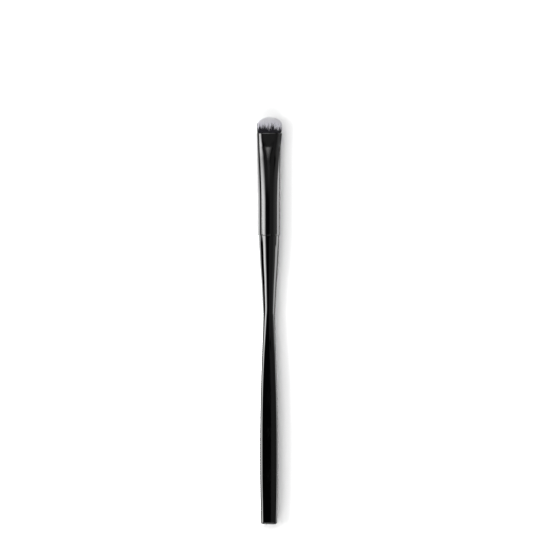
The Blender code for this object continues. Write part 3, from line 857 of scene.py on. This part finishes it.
def fibre_material():
    """Fibres that are dark at the ferrule and pale at the tips, whiter still towards the tips as painted
    light, with a tone that differs by strand and clump.
    """
    material, tree, shader = new_material("two_tone_fibre")
    along = add(tree, "ShaderNodeAttribute", attribute_name="fibre_height").outputs["Fac"]
    strand = add(tree, "ShaderNodeAttribute", attribute_name="strand").outputs["Fac"]
    clump = add(tree, "ShaderNodeAttribute", attribute_name="clump").outputs["Fac"]
    dyed = total(
        tree, along,
        spread(tree, clump, 0.0, 1.0, -DYE_CLUMP_SHIFT, DYE_CLUMP_SHIFT),
        spread(tree, strand, 0.0, 1.0, -DYE_STRAND_SHIFT, DYE_STRAND_SHIFT),
    )
    pale = spread(tree, dyed, *DYE_END_RANGE, shape="SMOOTHSTEP")
    # Painted light: whiter towards the tips, where less of the tuft's own shade falls; strand and clump add
    # a tone that differs at random.
    painted_tip_light = spread(tree, along, *PAINTED_TIP_LIGHT_RANGE)
    by_strand = spread(tree, strand, 0.0, 1.0, *STRAND_BLEACH)
    by_clump = spread(tree, clump, 0.0, 1.0, *CLUMP_BLEACH)
    lit = total(tree, painted_tip_light, by_strand, by_clump)
    pale_tone_and_tip_light = blend_colours(tree, lit, FIBRE_PALE, FIBRE_WHITE)
    tree.links.new(blend_colours(tree, pale, FIBRE_DARK, pale_tone_and_tip_light), shader["Base Color"])
    tree.links.new(spread(tree, pale, 0.0, 1.0, *FIBRE_ROUGHNESS), shader["Roughness"])
    shader["Specular IOR Level"].default_value = FIBRE_SPECULAR
    return material


def resin_material(mottle):
    """Cured amber resin."""
    material, tree, shader = new_material("cured_amber_resin")
    cloud = use_group(tree, mottle, {"Scale": 700.0, "Low": 0.0, "High": 1.0})
    tone = blend_colours(tree, cloud["Value"], RESIN_DARK, RESIN_LIGHT)
    tree.links.new(tone, shader["Base Color"])
    tree.links.new(bump(tree, cloud["Height"], RESIN_RELIEF), shader["Normal"])
    shader["Roughness"].default_value = RESIN_ROUGHNESS
    return material


def soft_edge_group():
    """Mask that fades towards the four edges of a lamp's face."""
    inputs = (("Face", VECTOR),) + tuple((name, FLOAT) for name in FADE_NAMES)
    tree, given, made = named_tree("soft_edges", "ShaderNodeTree", inputs, [("Mask", FLOAT)])
    u, v, _ = split(tree, given["Face"])
    one_less_u = calc(tree, "SUBTRACT", 1.0, u)
    one_less_v = calc(tree, "SUBTRACT", 1.0, v)
    masks = []
    for place, name in zip((u, one_less_u, v, one_less_v), FADE_NAMES):
        masks.append(spread(tree, place, 0.0, given[name], shape="SMOOTHSTEP"))
    tree.links.new(product(tree, *masks), made["Mask"])
    return tree


def softbox(name, soft_edges, centre, half_across, half_up, strength, fades):
    """A card that glows less towards its edges, by a fade for left, right, low and high."""
    middle, across, up = Vector(centre), Vector(half_across), Vector(half_up)
    corners = [middle - across - up, middle + across - up, middle + across + up, middle - across + up]
    mesh = bpy.data.meshes.new(name)
    mesh.from_pydata(corners, [], [(0, 1, 2, 3)])
    face = mesh.uv_layers.new(name="UVMap")
    face.data.foreach_set("uv", [0.0, 0.0, 1.0, 0.0, 1.0, 1.0, 0.0, 1.0])
    material = bpy.data.materials.new(name)
    material.use_nodes = True
    tree = material.node_tree
    tree.nodes.clear()
    group = tree.nodes.new("ShaderNodeGroup")
    group.node_tree = soft_edges
    tree.links.new(add(tree, "ShaderNodeUVMap").outputs["UV"], group.inputs["Face"])
    for label, fade in zip(FADE_NAMES, fades):
        group.inputs[label].default_value = fade
    glow = add(tree, "ShaderNodeEmission", {"Color": group.outputs["Mask"], "Strength": strength})
    end = tree.nodes.new("ShaderNodeOutputMaterial")
    tree.links.new(glow.outputs["Emission"], end.inputs["Surface"])
    mesh.materials.append(material)
    card = bpy.data.objects.new(name, mesh)
    card.visible_camera = False
    card.visible_shadow = False
    bpy.context.scene.collection.objects.link(card)
    return card


def floor_glow(tree, x, y):
    """Strength of the floor's glow in the gloss, to the left and right of the brush."""
    by_tuft = spread(tree, y, *LEFT_TUFT_RANGE)
    by_ferrule = spread(tree, y, *FERRULE_GLOW_RANGE)
    beside = blend_values(tree, by_ferrule, LEFT_HANDLE_GLOW, LEFT_FERRULE_GLOW)
    close = blend_values(tree, by_tuft, beside, LEFT_TUFT_GLOW)
    near = spread(tree, x, *LEFT_NEAR_RANGE, LEFT_FAR_GLOW, close, shape="SMOOTHSTEP")
    past = total(tree, x, blend_values(tree, by_tuft, LEFT_REACH, LEFT_TUFT_REACH))
    left = product(tree, near, spread(tree, past, 0.0, LEFT_FADE, shape="SMOOTHSTEP"))
    first = blend_values(tree, by_ferrule, RIGHT_START, RIGHT_FERRULE_START)
    begun = calc(tree, "SUBTRACT", x, first)
    rise = spread(tree, begun, 0.0, RIGHT_RISE, RIGHT_NEAR_GLOW, RIGHT_FULL_GLOW, shape="SMOOTHSTEP")
    far = spread(tree, x, *RIGHT_FAR_RANGE, 1.0, RIGHT_FAR_SHARE)
    past_tuft = spread(tree, y, *RIGHT_TUFT_RANGE, 1.0, RIGHT_TUFT_SHARE)
    right = product(tree, rise, past_tuft, blend_values(tree, by_ferrule, 1.0, far))
    blend = spread(tree, y, *BUTT_GLOW_RANGE, BUTT_BLEND, SIDE_BLEND)
    right_side = spread(tree, x, product(tree, blend, -1.0), blend, shape="SMOOTHSTEP")
    return blend_values(tree, right_side, left, right)


def mix_shaders(tree, share, start, end):
    """Shader a share of the way from start to end."""
    node = add(tree, "ShaderNodeMixShader", {0: share, 1: start, 2: end})
    return node.outputs["Shader"]


def make_floor():
    """A wide white floor: lit by the lamps near the brush, plain white far away, glowing in the gloss."""
    mesh = bpy.data.meshes.new("studio_floor")
    corners = [
        (-FLOOR_REACH, -FLOOR_REACH, 0.0), (FLOOR_REACH, -FLOOR_REACH, 0.0),
        (FLOOR_REACH, FLOOR_REACH, 0.0), (-FLOOR_REACH, FLOOR_REACH, 0.0),
    ]
    mesh.from_pydata(corners, [], [(0, 1, 2, 3)])
    material, tree, shader = new_material("white_floor")
    shader["Base Color"].default_value = FLOOR_WHITE
    shader["Roughness"].default_value = FLOOR_ROUGHNESS
    shader["Specular IOR Level"].default_value = 0.0
    x, y, _ = split(tree, add(tree, "ShaderNodeTexCoord").outputs["Object"])
    away = calc(tree, "SQRT", total(tree, product(tree, x, x), product(tree, y, y)))
    lit_far = spread(tree, away, *PAPER_DISTANCES, shape="SMOOTHSTEP")
    paper = add(tree, "ShaderNodeEmission", {"Strength": PAPER_STRENGTH}).outputs["Emission"]
    backdrop = mix_shaders(tree, lit_far, tree.nodes["Principled BSDF"].outputs["BSDF"], paper)
    glow = add(tree, "ShaderNodeEmission", {"Strength": floor_glow(tree, x, y)}).outputs["Emission"]
    seen = add(tree, "ShaderNodeLightPath").outputs["Is Glossy Ray"]
    mixed = mix_shaders(tree, seen, backdrop, glow)
    tree.links.new(mixed, tree.nodes["Material Output"].inputs["Surface"])
    material.cycles.emission_sampling = "NONE"
    mesh.materials.append(material)
    floor = bpy.data.objects.new("studio_floor", mesh)
    bpy.context.scene.collection.objects.link(floor)


def make_world():
    """White behind the brush for the camera, and nearly black for everything else."""
    world = bpy.data.worlds.new("studio")
    bpy.context.scene.world = world
    world.use_nodes = True
    tree = world.node_tree
    seen = add(tree, "ShaderNodeLightPath").outputs["Is Camera Ray"]
    strength = blend_values(tree, seen, WORLD_STRENGTH, WORLD_CAMERA_STRENGTH)
    tree.links.new(strength, tree.nodes["Background"].inputs["Strength"])
    tree.nodes["Background"].inputs["Color"].default_value = (1.0, 1.0, 1.0, 1.0)


def arc_softbox(name, soft_edges, side, start, end, aside, half_width, strength, fades):
    """A card on an arc over one end of the brush, between two angles in degrees from straight up."""
    start, end = math.radians(start), math.radians(end)
    middle, half_angle = (start + end) / 2, (end - start) / 2
    centre = Vector((aside, side * math.sin(middle) * ARC_DISTANCE, math.cos(middle) * ARC_DISTANCE))
    tilt = Vector((0.0, side * math.cos(middle), -math.sin(middle)))
    half_up = tilt * ARC_DISTANCE * math.tan(half_angle)
    return softbox(name, soft_edges, centre, (half_width, 0.0, 0.0), half_up, strength, fades)


def make_lamps():
    """Three softboxes light the floor and the fibres; the cards only show in the gloss."""
    soft_edges = soft_edge_group()
    lamps = (
        softbox(
            "left_softbox", soft_edges, strength=14.5, fades=EVEN_FADES,
            centre=(-0.614, 0.02, 0.658), half_across=(0.0, 0.25, 0.0), half_up=(0.0925, 0.0, 0.0863),
        ),
        arc_softbox(
            "tip_softbox", soft_edges, strength=3.1, fades=EVEN_FADES,
            side=TIP_SIDE, start=5.0, end=62.0, aside=-0.15, half_width=0.65,
        ),
        arc_softbox(
            "butt_softbox", soft_edges, strength=4.9, fades=EVEN_FADES,
            side=BUTT_SIDE, start=30.0, end=66.0, aside=-0.15, half_width=0.65,
        ),
    )
    for lamp in lamps:
        lamp.visible_glossy = False
    cards = (
        softbox(
            "left_card", soft_edges, strength=16.5, fades=(0.03, 0.5, 0.01, 0.845),
            centre=(-0.6, 0.02, 0.619), half_across=(0.0, 0.34, -0.174), half_up=(0.0, 0.0, 0.355),
        ),
        softbox(
            "left_low_card", soft_edges, strength=15.0, fades=(0.1, 0.9, 0.15, 0.01),
            centre=(-0.6, 0.16, 0.16), half_across=(0.0, 0.14, 0.0), half_up=(0.0, 0.0, 0.08),
        ),
        arc_softbox(
            "tip_card", soft_edges, strength=8.0, fades=(0.45, 0.7, 0.3, 0.1),
            side=TIP_SIDE, start=16.0, end=45.0, aside=-0.09, half_width=0.45,
        ),
        arc_softbox(
            "tip_spill", soft_edges, strength=0.45, fades=(0.01, 0.01, 1.0, 0.01),
            side=TIP_SIDE, start=1.0, end=16.0, aside=-0.02, half_width=0.22,
        ),
        softbox(
            "tip_glow", soft_edges, strength=0.2, fades=(0.1, 0.01, 0.15, 0.1),
            centre=(-0.7, 0.725, 2.0), half_across=(0.7, 0.0, 0.0), half_up=(0.0, 0.575, 0.0),
        ),
        arc_softbox(
            "butt_card", soft_edges, strength=3.1, fades=(0.1, 0.1, 0.05, 0.1),
            side=BUTT_SIDE, start=17.0, end=60.0, aside=0.0, half_width=0.5,
        ),
        softbox(
            "right_glow", soft_edges, strength=0.24, fades=(0.012, 0.01, 0.05, 0.1),
            centre=(0.977, 0.0, 2.0), half_across=(0.973, 0.0, 0.0), half_up=(0.0, 0.9, 0.0),
        ),
        softbox(
            "right_wall", soft_edges, strength=0.8, fades=(0.1, 0.1, 0.01, 1.0),
            centre=(1.95, 0.0, 1.7), half_across=(0.0, 0.5, 0.0), half_up=(0.0, 0.0, 1.7),
        ),
        softbox(
            "right_strip", soft_edges, strength=6.5, fades=(0.1, 0.08, 0.01, 0.2),
            centre=(0.6, -0.193, 0.07), half_across=(0.0, 0.207, 0.0), half_up=(0.0, 0.0, 0.07),
        ),
    )
    for card in cards:
        card.visible_diffuse = False


def make_camera():
    """Straight down on the brush, through a long lens, with the tip upwards."""
    data = bpy.data.cameras.new("camera")
    data.lens = CAMERA_LENS
    data.sensor_width = SENSOR_WIDTH
    data.clip_start = CLIP_START
    data.clip_end = CLIP_END
    camera = bpy.data.objects.new("camera", data)
    distance = PHOTO_WIDTH * CAMERA_LENS / SENSOR_WIDTH
    camera.location = (PHOTO_CENTRE[0], PHOTO_CENTRE[1], PHOTO_CENTRE[2] + distance)
    bpy.context.scene.collection.objects.link(camera)
    bpy.context.scene.camera = camera


def brush_matrix(record):
    """Where the brush lies: from the face of its butt, along its own axis."""
    face = record["mounts"][0]
    along = -Vector(face["axis"])
    lie = math.atan2(along.z, along.y)
    return Matrix.Translation(face["pos_m"]) @ Matrix.Rotation(lie, 4, "X")


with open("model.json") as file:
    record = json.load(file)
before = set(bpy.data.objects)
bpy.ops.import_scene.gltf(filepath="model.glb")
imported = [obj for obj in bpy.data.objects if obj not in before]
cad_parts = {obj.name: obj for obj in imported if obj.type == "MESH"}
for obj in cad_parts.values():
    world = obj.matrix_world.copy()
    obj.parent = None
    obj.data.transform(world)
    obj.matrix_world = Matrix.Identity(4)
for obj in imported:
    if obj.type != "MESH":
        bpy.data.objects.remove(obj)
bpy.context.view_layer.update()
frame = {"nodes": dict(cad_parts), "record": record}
bpy.context.scene.view_settings.view_transform = "Standard"

brush_place = brush_matrix(frame["record"])
mottle = mottle_group()
hairlines = hairline_group()
make_handle(brush_place, lacquer_material(mottle, hairlines))
make_ferrule(brush_place, metal_material(mottle, hairlines))
make_tuft(brush_place, fibre_material())
fill_resin(frame["nodes"], resin_material(mottle))
make_floor()
make_world()
make_lamps()
make_camera()
